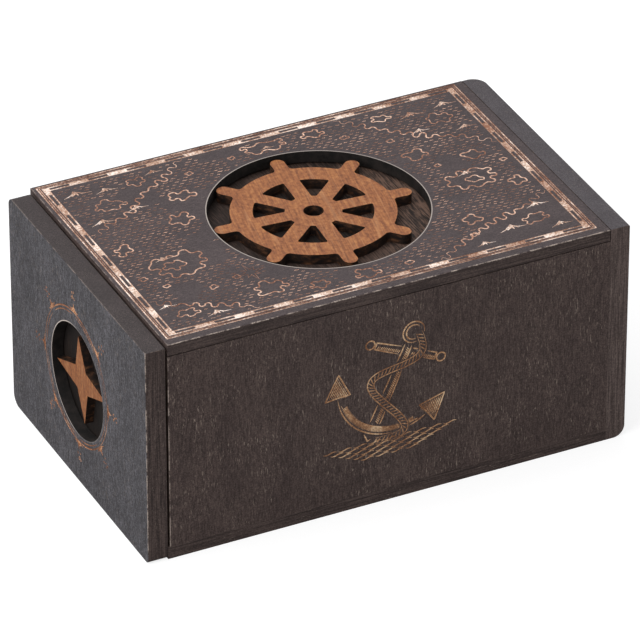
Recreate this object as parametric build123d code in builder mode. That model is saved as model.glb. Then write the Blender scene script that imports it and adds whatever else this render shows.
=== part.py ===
from build123d import *
from math import acos, cos, hypot, pi, radians, sin, tan
import os

# A nautical puzzle box of stained plywood. The body is a base, two long walls, an end cap and a lid.
# The left end is the front of a drawer that slides out along -X. The ship's wheel in the lid turns a
# pinion whose two rack bolts shoot into the drawer's sides, and the star in the drawer's front turns
# a latch that hooks behind a keeper. The model stands with both locks open.
# Millimetres, +Z up, +Y to the back. The origin is the middle of the footprint, at table height.

# Overall size
box_length = 150.0
box_depth = 92.3
box_height = 70.5

# Boards
drawer_panel_thickness = 6.0
end_cap_thickness = 6.0
wall_thickness = 4.0
base_thickness = 4.0
lid_thickness = 3.6
ply_thickness = 3.0
edge_ease = 0.35

# Gaps that show from outside
body_gap = 0.8
base_gap = 0.15
lid_gap = 0.3
lid_end_gap = 0.25
panel_drop = 1.0
panel_lift = 0.15

# Rounded corners, sanded by hand
cap_top_radius = 0.5
cap_bottom_radius = 3.6
cap_back_radius = 4.5
panel_back_bottom_radius = 3.5
panel_back_top_radius = 2.6
panel_front_bottom_radius = 1.3

# Clearances
slide_clearance = 0.3
shaft_clearance = 0.05
axial_clearance = 0.3

# Round opening in the lid
lid_opening_x = 0.3
lid_opening_radius = 31.75

# Ship's wheel and its disc, a little off the middle of the opening
wheel_x = -0.8
wheel_y = 1.2
wheel_tip_radius = 29.8
wheel_rim_outer_radius = 23.7
wheel_rim_inner_radius = 17.2
wheel_hub_radius = 8.1
wheel_hub_hole_radius = 2.9
wheel_spoke_count = 8
wheel_spoke_width = 4.8
wheel_handle_width = 4.3
wheel_handle_fillet = 1.3
wheel_window_fillet = 0.5
wheel_thickness = 3.2
wheel_sink = 1.0
wheel_turned = -4.2
wheel_disc_thickness = 3.0
wheel_disc_overlap = 2.6
spindle_radius = 3.0

# Pinion and rack bolts under the wheel
gear_module = 1.5
pinion_teeth = 12
pressure_angle = 25.0
gear_addendum = 1.2
gear_tip_clearance = 0.4
gear_backlash = 0.15
flank_steps = 5
wheel_range = 90.0
bolt_width = 8.0
bolt_end_margin = 1.0
bolt_nose_chamfer = 0.8
mechanism_half_length = 40.0
mechanism_side_gap = 1.0

# Screws that hold the mechanism under the deck
screw_shank_radius = 1.0
screw_head_radius = 2.1
screw_length = 8.4
screw_slot_width = 0.5
screw_slot_depth = 0.5
screw_x = 31.0
screw_y = 30.0

# Dowels between the end cap and the boards that meet it
dowel_radius = 1.0
dowel_length = 9.0
dowel_in_cap = 3.5
dowel_heights = (18.0, 52.0)
dowel_base_spread = 56.0

# Drawer
drawer_rear_gap = 1.5
drawer_top_clearance = 0.4
drawer_height = 54.2
bolt_notch_depth = 6.0
stop_block_length = 9.6
stop_block_width = 20.0
stop_block_height = 14.0

# Star, its disc and the latch behind the drawer's front
star_offset_y = 0.3
star_height = 33.7
star_opening_radius = 17.5
star_side_tip_radius = 16.9
star_upright_tip_radius = 13.8
star_notch_radius = 4.95
star_thickness = 2.6
star_sink = 1.3
star_turned = -7.0
star_disc_overlap = 2.5
star_spindle_radius = 2.5
latch_washer_radius = 6.0
latch_washer_thickness = 2.7
latch_arm_width = 8.0
latch_reach = 26.6
latch_peg_radius = 1.5
latch_peg_distance = 18.0

# Keeper that the latch hooks behind
keeper_thickness = 3.0
keeper_width = 50.0
keeper_latch_gap = 0.4

# Places along the length
left_x = -box_length / 2
right_x = box_length / 2
panel_back_x = left_x + drawer_panel_thickness
body_x = panel_back_x + body_gap
cap_x = right_x - end_cap_thickness
drawer_end_x = cap_x - drawer_rear_gap
backer_back_x = panel_back_x + ply_thickness
washer_front_x = backer_back_x + axial_clearance
latch_front_x = washer_front_x + latch_washer_thickness
latch_back_x = latch_front_x + ply_thickness
keeper_back_x = latch_front_x - keeper_latch_gap

# Places across the depth
front_y = -box_depth / 2
back_y = box_depth / 2
inner_y = back_y - wall_thickness
side_outer_y = inner_y - slide_clearance
side_inner_y = side_outer_y - ply_thickness
mechanism_y = side_inner_y - mechanism_side_gap - wheel_y

# Heights
lid_under_z = box_height - lid_thickness
wall_top_z = lid_under_z - lid_gap
disc_top_z = box_height - wheel_sink - wheel_thickness
deck_under_z = disc_top_z - wheel_disc_thickness
cover_top_z = deck_under_z - ply_thickness
cover_under_z = cover_top_z - ply_thickness
panel_top_z = box_height - panel_drop
drawer_under_z = base_thickness + slide_clearance
drawer_floor_z = drawer_under_z + ply_thickness
side_top_z = deck_under_z - drawer_top_clearance
keeper_under_z = drawer_height + slide_clearance

# Gear sizes
pitch_radius = gear_module * pinion_teeth / 2
tooth_pitch = pi * gear_module
gear_dedendum = gear_addendum + gear_tip_clearance
base_radius = pitch_radius * cos(radians(pressure_angle))
bolt_travel = pitch_radius * radians(wheel_range)
bolt_inner_x = pitch_radius + gear_dedendum
bolt_outer_x = bolt_inner_x + bolt_width
bolt_tip_y = inner_y - slide_clearance - bolt_travel
rack_teeth = round(bolt_travel / tooth_pitch) + 4
bolt_rear_y = (rack_teeth - 2) * tooth_pitch + bolt_end_margin
disc_radius = lid_opening_radius + wheel_disc_overlap
star_disc_front_x = left_x + star_sink + star_thickness
star_disc_radius = star_opening_radius + star_disc_overlap


def span(first, second, mode=Mode.ADD):
    """Rectangle in the current sketch between two (low, high) pairs."""
    with Locations(((first[0] + first[1]) / 2, (second[0] + second[1]) / 2)):
        Rectangle(first[1] - first[0], second[1] - second[0], mode=mode)


def across(x):
    """Plane square to the length at x, drawn in (y, z)."""
    return Plane.YZ.offset(x)


def wheel_plane(z, turn=0.0):
    """Level plane centred on the wheel's axis."""
    return Plane(origin=(wheel_x, wheel_y, z)).rotated((0, 0, turn))


def star_plane(x, turn=0.0):
    """Upright plane centred on the star's axis, drawn in (y, z)."""
    across_dir = (0, cos(radians(turn)), sin(radians(turn)))
    return Plane(origin=(x, star_offset_y, star_height), x_dir=across_dir, z_dir=(1, 0, 0))


def involute(angle):
    """Involute function of a pressure angle in radians."""
    return tan(angle) - angle


def pinion_tooth():
    """Outline of the tooth on the pinion's +X side, from inside its root circle."""
    half_at_pitch = (tooth_pitch / 2 - gear_backlash) / 2 / pitch_radius
    tip_radius = pitch_radius + gear_addendum
    flank = []
    for step in range(flank_steps + 1):
        radius = base_radius + (tip_radius - base_radius) * step / flank_steps
        half = half_at_pitch + involute(radians(pressure_angle)) - involute(acos(base_radius / radius))
        flank.append((radius, half))
    root = pitch_radius - gear_dedendum - gear_tip_clearance
    flank.insert(0, (root, flank[0][1]))
    lower = [(radius * cos(half), -radius * sin(half)) for radius, half in flank]
    upper = [(radius * cos(half), radius * sin(half)) for radius, half in reversed(flank)]
    return lower + upper


def rack_tooth(centre_y):
    """Outline of a rack tooth that points to the pinion from its -X side."""
    half = (tooth_pitch / 2 - gear_backlash) / 2
    slope = tan(radians(pressure_angle))
    half_tip = half - gear_addendum * slope
    half_root = half + gear_dedendum * slope
    tip_x = -(pitch_radius - gear_addendum)
    return [
        (-bolt_inner_x, centre_y + half_root),
        (-bolt_inner_x, centre_y - half_root),
        (tip_x, centre_y - half_tip),
        (tip_x, centre_y + half_tip),
    ]


def rack_bolt(side):
    """Bolt with rack teeth beside the pinion, at the front, -1, or turned round for the back, +1."""
    tip_y = side * wheel_y - bolt_tip_y
    with BuildPart() as bolt:
        with BuildSketch(wheel_plane(cover_top_z, 90 * (side + 1))) as outline:
            span((-bolt_outer_x, -bolt_inner_x), (tip_y, bolt_rear_y))
            chamfer(outline.vertices().group_by(Axis.Y)[0], bolt_nose_chamfer)
            for tooth in range(rack_teeth):
                Polygon(*rack_tooth((tooth - 1.5) * tooth_pitch), align=None)
        extrude(amount=ply_thickness - axial_clearance)
    return bolt


def bolt_guide(turn):
    """Guide plate beside and behind one bolt. Turned 180 degrees it is the plate of the other side."""
    channel_x = bolt_outer_x + slide_clearance
    tooth_side_x = pitch_radius - gear_addendum - slide_clearance
    with BuildPart() as guide:
        with BuildSketch(wheel_plane(cover_top_z, turn)):
            span((-mechanism_half_length, -channel_x), (-mechanism_y, mechanism_y))
            span((-mechanism_half_length, tooth_side_x), (bolt_rear_y + slide_clearance, mechanism_y))
            span((-tooth_side_x, tooth_side_x), (0, mechanism_y))
            Circle(pitch_radius + gear_addendum + gear_tip_clearance, mode=Mode.SUBTRACT)
            with Locations((-screw_x, -screw_y), (-screw_x, screw_y)):
                Circle(screw_shank_radius + shaft_clearance, mode=Mode.SUBTRACT)
        extrude(amount=ply_thickness)
    return guide


def drawer_side(side):
    """Side board of the drawer, +1 at the back and -1 at the front, notched for its rack bolt."""
    bolt_middle_x = wheel_x + side * (bolt_inner_x + bolt_width / 2)
    notch_half = bolt_width / 2 + slide_clearance
    outer, inner = side * side_outer_y, side * side_inner_y
    with BuildPart() as board:
        with BuildSketch(Plane.XY.offset(drawer_under_z)):
            span((panel_back_x, drawer_end_x), (min(outer, inner), max(outer, inner)))
        extrude(amount=side_top_z - drawer_under_z)
        with BuildSketch(Plane.XY.offset(side_top_z)):
            notch_span = (bolt_middle_x - notch_half, bolt_middle_x + notch_half)
            span(notch_span, (min(outer, inner), max(outer, inner)))
        extrude(amount=-bolt_notch_depth, mode=Mode.SUBTRACT)
    return board


def long_wall(side):
    """Long wall of the body, +1 at the back and -1 at the front, drilled for the end cap's dowels."""
    near, far = side * inner_y, side * back_y
    middle_y = side * (inner_y + wall_thickness / 2)
    with BuildPart() as wall:
        with BuildSketch(Plane.XY.offset(base_thickness)):
            span((body_x, cap_x), (min(near, far), max(near, far)))
        extrude(amount=wall_top_z - base_thickness)
        with BuildSketch(across(cap_x)):
            with Locations([(middle_y, z) for z in dowel_heights]):
                Circle(dowel_radius + shaft_clearance)
        extrude(amount=-(dowel_length - dowel_in_cap + axial_clearance), mode=Mode.SUBTRACT)
    return wall


# Dowel places on the end cap, in (y, z)
wall_middle_y = inner_y + wall_thickness / 2
dowel_places = [(side * wall_middle_y, z) for side in (-1, 1) for z in dowel_heights]
dowel_places += [(side * dowel_base_spread / 2, base_thickness / 2) for side in (-1, 1)]
screw_places = [(x, y) for x in (-screw_x, screw_x) for y in (-screw_y, screw_y)]

# Base board, reaching closer to the drawer's front than the walls do
with BuildPart() as base:
    with BuildSketch():
        span((panel_back_x + base_gap, cap_x), (front_y, back_y))
    extrude(amount=base_thickness)
    with BuildSketch(across(cap_x)):
        with Locations(dowel_places[-2:]):
            Circle(dowel_radius + shaft_clearance)
    extrude(amount=-(dowel_length - dowel_in_cap + axial_clearance), mode=Mode.SUBTRACT)

# Front and back walls
front_wall = long_wall(-1)
back_wall = long_wall(1)

# End cap with its sanded corners
with BuildPart() as end_cap:
    with BuildSketch():
        span((cap_x, right_x), (front_y, back_y))
    extrude(amount=box_height)
    outer_uprights = end_cap.edges().filter_by(Axis.Z).group_by(Axis.X)[-1].sort_by(Axis.Y)
    fillet(outer_uprights[-1], cap_back_radius)
    fillet(end_cap.edges().filter_by(Axis.Y).group_by(Axis.X)[-1].sort_by(Axis.Z)[-1], cap_top_radius)
    fillet(end_cap.edges().filter_by(Axis.Y).group_by(Axis.X)[-1].sort_by(Axis.Z)[0], cap_bottom_radius)
    with BuildSketch(across(cap_x)):
        with Locations(dowel_places):
            Circle(dowel_radius + shaft_clearance)
    extrude(amount=dowel_in_cap + axial_clearance, mode=Mode.SUBTRACT)

# Dowels that join the end cap to the walls and the base
with BuildPart() as cap_dowels:
    with BuildSketch(across(cap_x + dowel_in_cap)):
        with Locations(dowel_places):
            Circle(dowel_radius)
    extrude(amount=-dowel_length)

# Lid with the round opening of the wheel
with BuildPart() as lid:
    with BuildSketch(Plane.XY.offset(lid_under_z)):
        span((body_x, cap_x - lid_end_gap), (front_y, back_y))
    extrude(amount=lid_thickness)
    long_edges = lid.edges().filter_by(Axis.X).group_by(Axis.Z)[-1]
    left_edge = lid.edges().filter_by(Axis.Y).group_by(Axis.Z)[-1].sort_by(Axis.X)[0]
    fillet(long_edges + [left_edge], edge_ease)
    with BuildSketch(Plane.XY.offset(lid_under_z)):
        with Locations((lid_opening_x, 0)):
            Circle(lid_opening_radius)
    extrude(amount=lid_thickness, mode=Mode.SUBTRACT)

# Deck under the lid, bored for the wheel's disc
with BuildPart() as lock_deck:
    with BuildSketch(Plane.XY.offset(deck_under_z)):
        span((body_x, cap_x), (-inner_y, inner_y))
    extrude(amount=lid_under_z - deck_under_z)
    with BuildSketch(wheel_plane(deck_under_z)):
        Circle(disc_radius + slide_clearance)
    extrude(amount=lid_under_z - deck_under_z, mode=Mode.SUBTRACT)
    with BuildSketch(wheel_plane(deck_under_z)):
        with Locations(screw_places):
            Circle(screw_shank_radius + shaft_clearance)
    extrude(amount=screw_length - (deck_under_z - cover_under_z) + axial_clearance, mode=Mode.SUBTRACT)

# Guide plates of the two bolts
bolt_guide_left = bolt_guide(0)
bolt_guide_right = bolt_guide(180)

# Cover that closes the mechanism from below and bears the wheel's spindle
with BuildPart() as mechanism_cover:
    with BuildSketch(wheel_plane(cover_under_z)):
        span((-mechanism_half_length, mechanism_half_length), (-mechanism_y, mechanism_y))
        Circle(spindle_radius + shaft_clearance, mode=Mode.SUBTRACT)
    extrude(amount=ply_thickness)
    with Locations(Plane(origin=(wheel_x, wheel_y, cover_under_z), z_dir=(0, 0, -1))):
        with Locations(screw_places):
            CounterSinkHole(screw_shank_radius + shaft_clearance, screw_head_radius + shaft_clearance)

# Countersunk screws
with BuildPart() as cover_screws:
    with Locations(wheel_plane(cover_under_z)):
        with Locations(screw_places):
            Cylinder(screw_shank_radius, screw_length, align=(Align.CENTER, Align.CENTER, Align.MIN))
            Cone(
                screw_head_radius,
                screw_shank_radius,
                screw_head_radius - screw_shank_radius,
                align=(Align.CENTER, Align.CENTER, Align.MIN),
            )
            Box(
                2 * screw_head_radius,
                screw_slot_width,
                screw_slot_depth,
                align=(Align.CENTER, Align.CENTER, Align.MIN),
                mode=Mode.SUBTRACT,
            )

# Keeper under the deck, which the star's latch hooks behind
with BuildPart() as latch_keeper:
    with BuildSketch(Plane.XY.offset(keeper_under_z)):
        span(
            (keeper_back_x - keeper_thickness, keeper_back_x),
            (star_offset_y - keeper_width / 2, star_offset_y + keeper_width / 2),
        )
    extrude(amount=deck_under_z - keeper_under_z)

# Ship's wheel: rim, spokes, hub and handles cut from one board
half_handle = wheel_handle_width / 2
with BuildPart() as ship_wheel:
    with BuildSketch(wheel_plane(disc_top_z, wheel_turned)):
        Circle(wheel_rim_outer_radius)
        with PolarLocations(0, wheel_spoke_count):
            span((0, wheel_tip_radius - half_handle), (-half_handle, half_handle))
        with PolarLocations(wheel_tip_radius - half_handle, wheel_spoke_count):
            Circle(half_handle)
        Circle(wheel_hub_hole_radius, mode=Mode.SUBTRACT)
    extrude(amount=wheel_thickness)
    handle_roots = []
    for edge in ship_wheel.edges().filter_by(Axis.Z):
        from_axis = hypot(edge.center().X - wheel_x, edge.center().Y - wheel_y)
        if abs(from_axis - wheel_rim_outer_radius) < edge_ease:
            handle_roots.append(edge)
    fillet(handle_roots, wheel_handle_fillet)
    with BuildSketch(wheel_plane(disc_top_z, wheel_turned)) as windows:
        Circle(wheel_rim_inner_radius)
        Circle(wheel_hub_radius, mode=Mode.SUBTRACT)
        with PolarLocations(0, wheel_spoke_count):
            half_spoke = wheel_spoke_width / 2
            span((0, wheel_rim_outer_radius), (-half_spoke, half_spoke), mode=Mode.SUBTRACT)
        fillet(windows.vertices(), wheel_window_fillet)
    extrude(amount=wheel_thickness, mode=Mode.SUBTRACT)

# Disc that carries the wheel, held between the lid and the guide plates
with BuildPart() as wheel_disc:
    with BuildSketch(wheel_plane(deck_under_z)):
        Circle(disc_radius)
        Circle(spindle_radius + shaft_clearance, mode=Mode.SUBTRACT)
    extrude(amount=wheel_disc_thickness)

# Pinion under the disc
with BuildPart() as pinion:
    with BuildSketch(wheel_plane(cover_top_z + axial_clearance)):
        Circle(pitch_radius - gear_dedendum)
        with PolarLocations(0, pinion_teeth):
            Polygon(*pinion_tooth(), align=None)
        Circle(spindle_radius + shaft_clearance, mode=Mode.SUBTRACT)
    extrude(amount=ply_thickness - axial_clearance)

# Spindle through the disc, the pinion and the cover
with BuildPart() as wheel_spindle:
    with BuildSketch(wheel_plane(cover_under_z)):
        Circle(spindle_radius)
    extrude(amount=disc_top_z - cover_under_z)

# Bolts on both sides of the pinion
bolt_front = rack_bolt(-1)
bolt_back = rack_bolt(1)

# Drawer's front panel, with the star's opening and the rebate of its disc behind
with BuildPart() as drawer_panel:
    with BuildSketch(across(left_x)) as panel_outline:
        span((front_y, back_y), (panel_lift, panel_top_z))
        fillet(panel_outline.vertices().group_by(Axis.X)[-1].sort_by(Axis.Y)[0], panel_back_bottom_radius)
        fillet(panel_outline.vertices().group_by(Axis.X)[-1].sort_by(Axis.Y)[-1], panel_back_top_radius)
        fillet(panel_outline.vertices().group_by(Axis.X)[0].sort_by(Axis.Y)[0], panel_front_bottom_radius)
    extrude(amount=drawer_panel_thickness)
    with BuildSketch(star_plane(left_x)):
        Circle(star_opening_radius)
    extrude(amount=drawer_panel_thickness, mode=Mode.SUBTRACT)
    with BuildSketch(star_plane(star_disc_front_x - axial_clearance)):
        Circle(star_disc_radius + slide_clearance)
    extrude(amount=panel_back_x - star_disc_front_x + axial_clearance, mode=Mode.SUBTRACT)

# Board behind the panel, which bears the star's spindle
with BuildPart() as front_backer:
    with BuildSketch(across(panel_back_x)):
        span((-side_inner_y, side_inner_y), (drawer_floor_z, drawer_height))
        with Locations((star_offset_y, star_height)):
            Circle(star_spindle_radius + shaft_clearance, mode=Mode.SUBTRACT)
    extrude(amount=ply_thickness)

# Drawer bottom, sides and back
with BuildPart() as drawer_bottom:
    with BuildSketch(Plane.XY.offset(drawer_under_z)):
        span((panel_back_x, drawer_end_x), (-side_inner_y, side_inner_y))
    extrude(amount=ply_thickness)

drawer_side_front = drawer_side(-1)
drawer_side_back = drawer_side(1)

with BuildPart() as drawer_back:
    with BuildSketch(across(drawer_end_x)):
        span((-side_inner_y, side_inner_y), (drawer_floor_z, drawer_height))
    extrude(amount=-ply_thickness)

# Block on the drawer's back that meets the keeper when the drawer is fully out
stop_front_x = drawer_end_x - ply_thickness - stop_block_length
stop_top_z = cover_under_z - slide_clearance
drawer_travel = stop_front_x - slide_clearance - keeper_back_x
with BuildPart() as drawer_stop:
    with BuildSketch(Plane.XY.offset(stop_top_z)):
        span(
            (stop_front_x, drawer_end_x - ply_thickness),
            (star_offset_y - stop_block_width / 2, star_offset_y + stop_block_width / 2),
        )
    extrude(amount=-stop_block_height)

# Star with four points
with BuildPart() as compass_star:
    with BuildSketch(star_plane(left_x + star_sink, star_turned)):
        reaches = 2 * [star_side_tip_radius, star_notch_radius, star_upright_tip_radius, star_notch_radius]
        points = [(reach * cos(n * pi / 4), reach * sin(n * pi / 4)) for n, reach in enumerate(reaches)]
        Polygon(*points, align=None)
    extrude(amount=star_thickness)

# Disc behind the star
with BuildPart() as star_disc:
    with BuildSketch(star_plane(star_disc_front_x)):
        Circle(star_disc_radius)
        Circle(star_spindle_radius + shaft_clearance, mode=Mode.SUBTRACT)
    extrude(amount=panel_back_x - star_disc_front_x)

# Spindle from the star's disc to the latch
with BuildPart() as star_spindle:
    with BuildSketch(star_plane(star_disc_front_x)):
        Circle(star_spindle_radius)
    extrude(amount=latch_back_x - star_disc_front_x)

# Washer between the board and the latch
with BuildPart() as latch_washer:
    with BuildSketch(star_plane(washer_front_x)):
        Circle(latch_washer_radius)
        Circle(star_spindle_radius + shaft_clearance, mode=Mode.SUBTRACT)
    extrude(amount=latch_washer_thickness)

# Latch arm, lying level while the drawer is free
with BuildPart() as latch_arm:
    with BuildSketch(star_plane(latch_front_x)):
        arm_half = latch_arm_width / 2
        Circle(latch_washer_radius)
        span((0, latch_reach - arm_half), (-arm_half, arm_half))
        with Locations((latch_reach - arm_half, 0)):
            Circle(arm_half)
        Circle(star_spindle_radius + shaft_clearance, mode=Mode.SUBTRACT)
    extrude(amount=ply_thickness)

# Pegs that stop the arm when it lies level and when it stands up
peg_side = latch_arm_width / 2 + slide_clearance + latch_peg_radius
with BuildPart() as latch_pegs:
    with BuildSketch(star_plane(backer_back_x)):
        with Locations((latch_peg_distance, -peg_side), (-peg_side, latch_peg_distance)):
            Circle(latch_peg_radius)
    extrude(amount=latch_back_x - backer_back_x)

pieces = {
    "base": base,
    "front_wall": front_wall,
    "back_wall": back_wall,
    "end_cap": end_cap,
    "cap_dowels": cap_dowels,
    "lid": lid,
    "lock_deck": lock_deck,
    "bolt_guide_left": bolt_guide_left,
    "bolt_guide_right": bolt_guide_right,
    "mechanism_cover": mechanism_cover,
    "cover_screws": cover_screws,
    "latch_keeper": latch_keeper,
    "ship_wheel": ship_wheel,
    "wheel_disc": wheel_disc,
    "pinion": pinion,
    "wheel_spindle": wheel_spindle,
    "bolt_front": bolt_front,
    "bolt_back": bolt_back,
    "drawer_panel": drawer_panel,
    "front_backer": front_backer,
    "drawer_bottom": drawer_bottom,
    "drawer_side_front": drawer_side_front,
    "drawer_side_back": drawer_side_back,
    "drawer_back": drawer_back,
    "drawer_stop": drawer_stop,
    "compass_star": compass_star,
    "star_disc": star_disc,
    "star_spindle": star_spindle,
    "latch_washer": latch_washer,
    "latch_arm": latch_arm,
    "latch_pegs": latch_pegs,
}

os.makedirs("parts", exist_ok=True)
for label, piece in pieces.items():
    piece.part.label = label
    export_step(piece.part, f"parts/{label}.step")
print(len(pieces), "pieces, drawer travel", round(drawer_travel, 2), "mm, bolt travel", round(bolt_travel, 3), "mm")
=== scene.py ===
# %% [markdown]
# # A nautical puzzle box
# The box is made of thin plywood boards, stained nearly black, with engraving burnt through the stain
# down to coppery wood. The construction comes as a fixed frame: every board already has its real size
# and place. This lesson adds what the eye sees: the finish of each board, the engraved lines, the
# studio and the camera.

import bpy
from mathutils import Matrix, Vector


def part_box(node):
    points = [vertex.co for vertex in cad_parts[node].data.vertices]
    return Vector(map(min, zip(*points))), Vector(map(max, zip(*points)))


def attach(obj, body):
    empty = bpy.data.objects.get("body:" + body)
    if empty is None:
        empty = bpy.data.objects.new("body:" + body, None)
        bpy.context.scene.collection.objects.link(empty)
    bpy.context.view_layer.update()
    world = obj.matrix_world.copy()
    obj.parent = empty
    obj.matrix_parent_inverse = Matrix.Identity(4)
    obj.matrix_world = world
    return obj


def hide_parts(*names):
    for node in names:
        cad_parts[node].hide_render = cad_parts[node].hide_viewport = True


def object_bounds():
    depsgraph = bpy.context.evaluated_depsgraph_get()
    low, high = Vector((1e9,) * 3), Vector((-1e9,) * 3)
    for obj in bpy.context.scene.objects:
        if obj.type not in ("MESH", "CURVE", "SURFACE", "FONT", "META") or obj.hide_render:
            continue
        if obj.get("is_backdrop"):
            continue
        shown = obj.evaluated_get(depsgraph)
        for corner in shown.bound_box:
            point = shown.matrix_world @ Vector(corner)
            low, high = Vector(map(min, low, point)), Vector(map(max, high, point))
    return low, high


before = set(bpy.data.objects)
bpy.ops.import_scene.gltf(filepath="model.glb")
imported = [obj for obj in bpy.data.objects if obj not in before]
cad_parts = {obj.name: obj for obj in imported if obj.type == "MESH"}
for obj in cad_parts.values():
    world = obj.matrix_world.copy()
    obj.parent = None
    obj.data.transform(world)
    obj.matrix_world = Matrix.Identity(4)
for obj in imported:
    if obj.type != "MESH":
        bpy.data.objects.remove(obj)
cad_low, cad_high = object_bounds()
cad_size = [round(1000 * (high - low), 2) for low, high in zip(cad_low, cad_high)]
print(len(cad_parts), "boards and fittings, box", cad_size, "mm")

# %% Names that every later cell uses
from functools import partialmethod, reduce
from itertools import groupby
from math import cos, dist, hypot, pi, radians, sin, tau
from random import Random

import bmesh
import bpy
from mathutils import Matrix, Vector, kdtree, noise

MM = 0.001
X, Y, Z = range(3)
scene = bpy.context.scene
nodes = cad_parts


def add_object(name, data):
    """New object with its data, linked to the scene."""
    made = bpy.data.objects.new(name, data)
    scene.collection.objects.link(made)
    return made


# %% [markdown]
# ## Camera
# The photograph was taken with a long lens from the front left, a little above the box. A long lens
# keeps the edges nearly parallel. The camera looks at a point near the middle of the box, so its place
# follows from two angles and a distance.

# %% Camera
camera_heading = radians(26.007)
camera_drop = radians(32.341)
camera_distance = 1.9327
camera_target = Vector((-0.81, -2.99, 35.39)) * MM
camera_lens = 382.48
film_width = 36.0

level = cos(camera_drop)
sight = Vector((sin(camera_heading) * level, cos(camera_heading) * level, -sin(camera_drop)))
camera = add_object("camera", bpy.data.cameras.new("camera"))
camera.data.lens = camera_lens
camera.data.sensor_width = film_width
camera.location = camera_target - sight * camera_distance
camera.rotation_euler = sight.to_track_quat("-Z", "Y").to_euler()
scene.camera = camera
print("camera at", [round(c, 3) for c in camera.location])

# %% [markdown]
# ## Colours and nodes
# Colours are noted the way a paint card gives them, as three numbers up to 255. Blender's shaders work
# with linear light, so a small function converts them. Light and wood are both networks of nodes, and
# two more functions add a node and fill in what goes into it.


# %% Colour card and node helper
def paint(red, green, blue):
    """Linear colour with full alpha, from a colour as a screen shows it."""
    linear = []
    for level in (red, green, blue):
        share = level / 255
        linear.append(share / 12.92 if share <= 0.04045 else ((share + 0.055) / 1.055) ** 2.4)
    return (*linear, 1.0)


def card(*colours):
    """Linear colours of one ramp, from its darkest up."""
    return [paint(*colour) for colour in colours]


def fill_in(node, values):
    """Fill inputs, by name or number, with links to other nodes' sockets or with plain values."""
    for key, value in values.items():
        if isinstance(value, bpy.types.NodeSocket):
            node.id_data.links.new(value, node.inputs[key])
        else:
            node.inputs[key].default_value = value


def add_node(tree, kind, *values, **settings):
    """New shader node with its settings, and its first inputs filled in their order."""
    made = tree.nodes.new("ShaderNode" + kind)
    for key, setting in settings.items():
        setattr(made, key, setting)
    fill_in(made, dict(enumerate(values)))
    return made


# %% [markdown]
# ## Studio
# The box stands in a light tent. A large soft lamp on the left and one above give the light, and a pale
# world fills the shadows. To the camera and to glossy reflections the world is plain white. The table is
# grey, so that it takes a shadow, and glows for the camera alone. So the background stays white without
# more light on the wood.

# %% Studio
fill_strength = 0.50
table_size, table_grey, table_glow = 12.0, 0.36, 0.76
world = bpy.data.worlds.new("light_tent")
scene.world = world
world.use_nodes = True
tent = world.node_tree
tent.nodes.clear()
rays = add_node(tent, "LightPath").outputs
to_white = rays["Is Camera Ray"]
for kind in ("Is Transmission Ray", "Is Glossy Ray"):
    to_white = add_node(tent, "Math", to_white, rays[kind], operation="MAXIMUM").outputs[0]
fill = add_node(tent, "Background", paint(250, 250, 252), fill_strength)
white = add_node(tent, "Background", (1, 1, 1, 1), 1.0)
either = add_node(tent, "MixShader", to_white, fill.outputs[0], white.outputs[0])
add_node(tent, "OutputWorld", either.outputs[0])


def softbox(name, heading, height, distance, size, power):
    """Square area lamp that looks at the box from a heading and a height in degrees."""
    lamp = bpy.data.lights.new(name, "AREA")
    lamp.shape = "SQUARE"
    lamp.size = size
    lamp.energy = power
    holder = add_object(name, lamp)
    side = Vector((sin(radians(heading)), -cos(radians(heading)), 0)) * cos(radians(height))
    away = side + Vector((0, 0, sin(radians(height))))
    holder.location = camera_target + away * distance
    holder.rotation_euler = (-away).to_track_quat("-Z", "Y").to_euler()


softbox("lamp_left", heading=-75, height=38, distance=1.2, size=0.9, power=9.0)
softbox("lamp_above", heading=-150, height=68, distance=1.3, size=1.0, power=7.0)

bpy.ops.mesh.primitive_plane_add(size=table_size)
table = bpy.context.active_object
table.name = "table"
table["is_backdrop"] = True
table_top = bpy.data.materials.new("table_top")
table_top.use_nodes = True
tree = table_top.node_tree
rays = add_node(tree, "LightPath").outputs
glow = add_node(tree, "Math", rays["Is Camera Ray"], table_glow, operation="MULTIPLY")
fill_in(tree.nodes["Principled BSDF"], {
    "Base Color": (table_grey, table_grey, table_grey, 1), "Roughness": 0.9, "Specular IOR Level": 0.1,
    "Emission Color": (1, 1, 1, 1), "Emission Strength": glow.outputs[0]})
table.data.materials.append(table_top)
scene.view_settings.view_transform = "Standard"
print("studio ready")

# %% [markdown]
# ## Building a finish
# A finish is a small network of nodes. This class gives short ways to say what a finish needs: noise
# whose grains have a real size along each axis, a ramp of colours, a soft threshold, and the distance
# from an edge of the board.


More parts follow.
